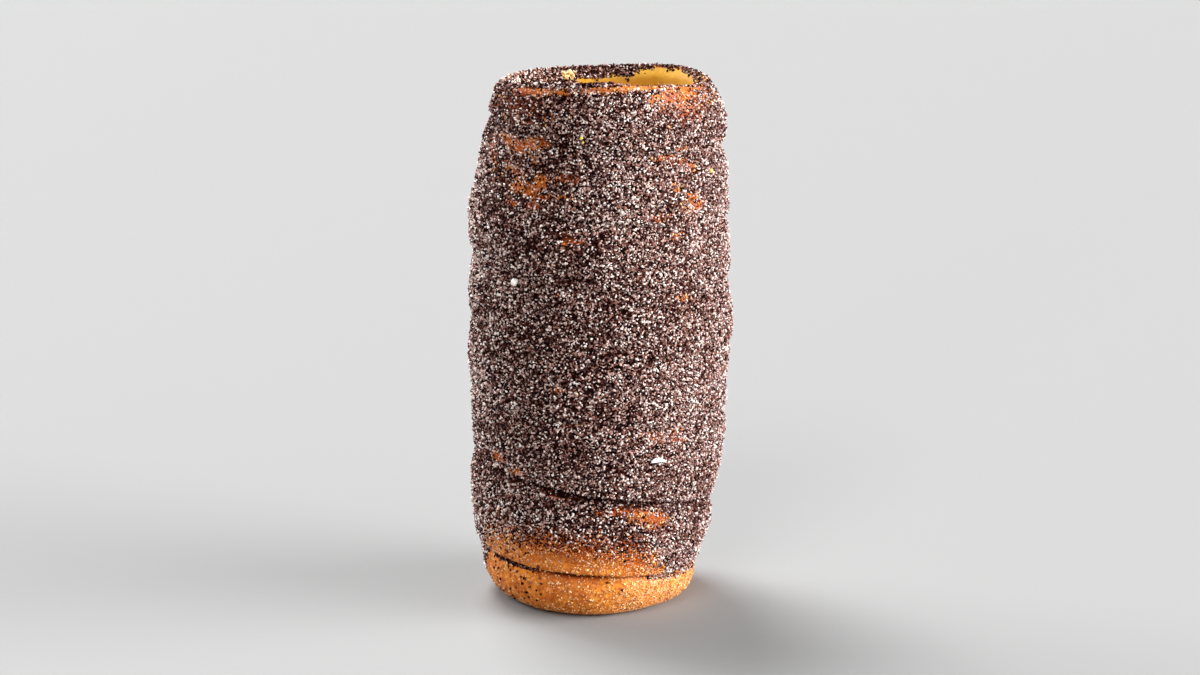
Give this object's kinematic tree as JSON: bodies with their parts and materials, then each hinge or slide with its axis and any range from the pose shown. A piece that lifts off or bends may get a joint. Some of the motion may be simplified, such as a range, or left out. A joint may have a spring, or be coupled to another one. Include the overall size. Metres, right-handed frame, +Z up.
{
  "type": "poppy seed chimney cake",
  "caption": "Upright chimney cake: a tapered tube of baked dough ribbon wound in a helix, open through the middle, crusted with poppy seeds and sugar.",
  "frame": {"origin": "on the ground, under the middle of the cake's box, where the cake stands on its narrow end", "axes": "+Z up along the tube, the front with the bare lip of the lowest turn faces -Y, +X is to the right seen from the front"},
  "size_m": [0.1024, 0.101, 0.205],
  "materials": {
    "crust": "golden brown baked yeast dough, satin, almost hidden under the seeds except on the lowest turn",
    "poppy_seed": "blue-black to dark brown poppy seeds, satin",
    "sugar": "coarse sugar grains, pale pink to white, glossy, some browned"
  },
  "bodies": {
    "root": {"chimney_cake": "crust"}
  },
  "joints": []
}
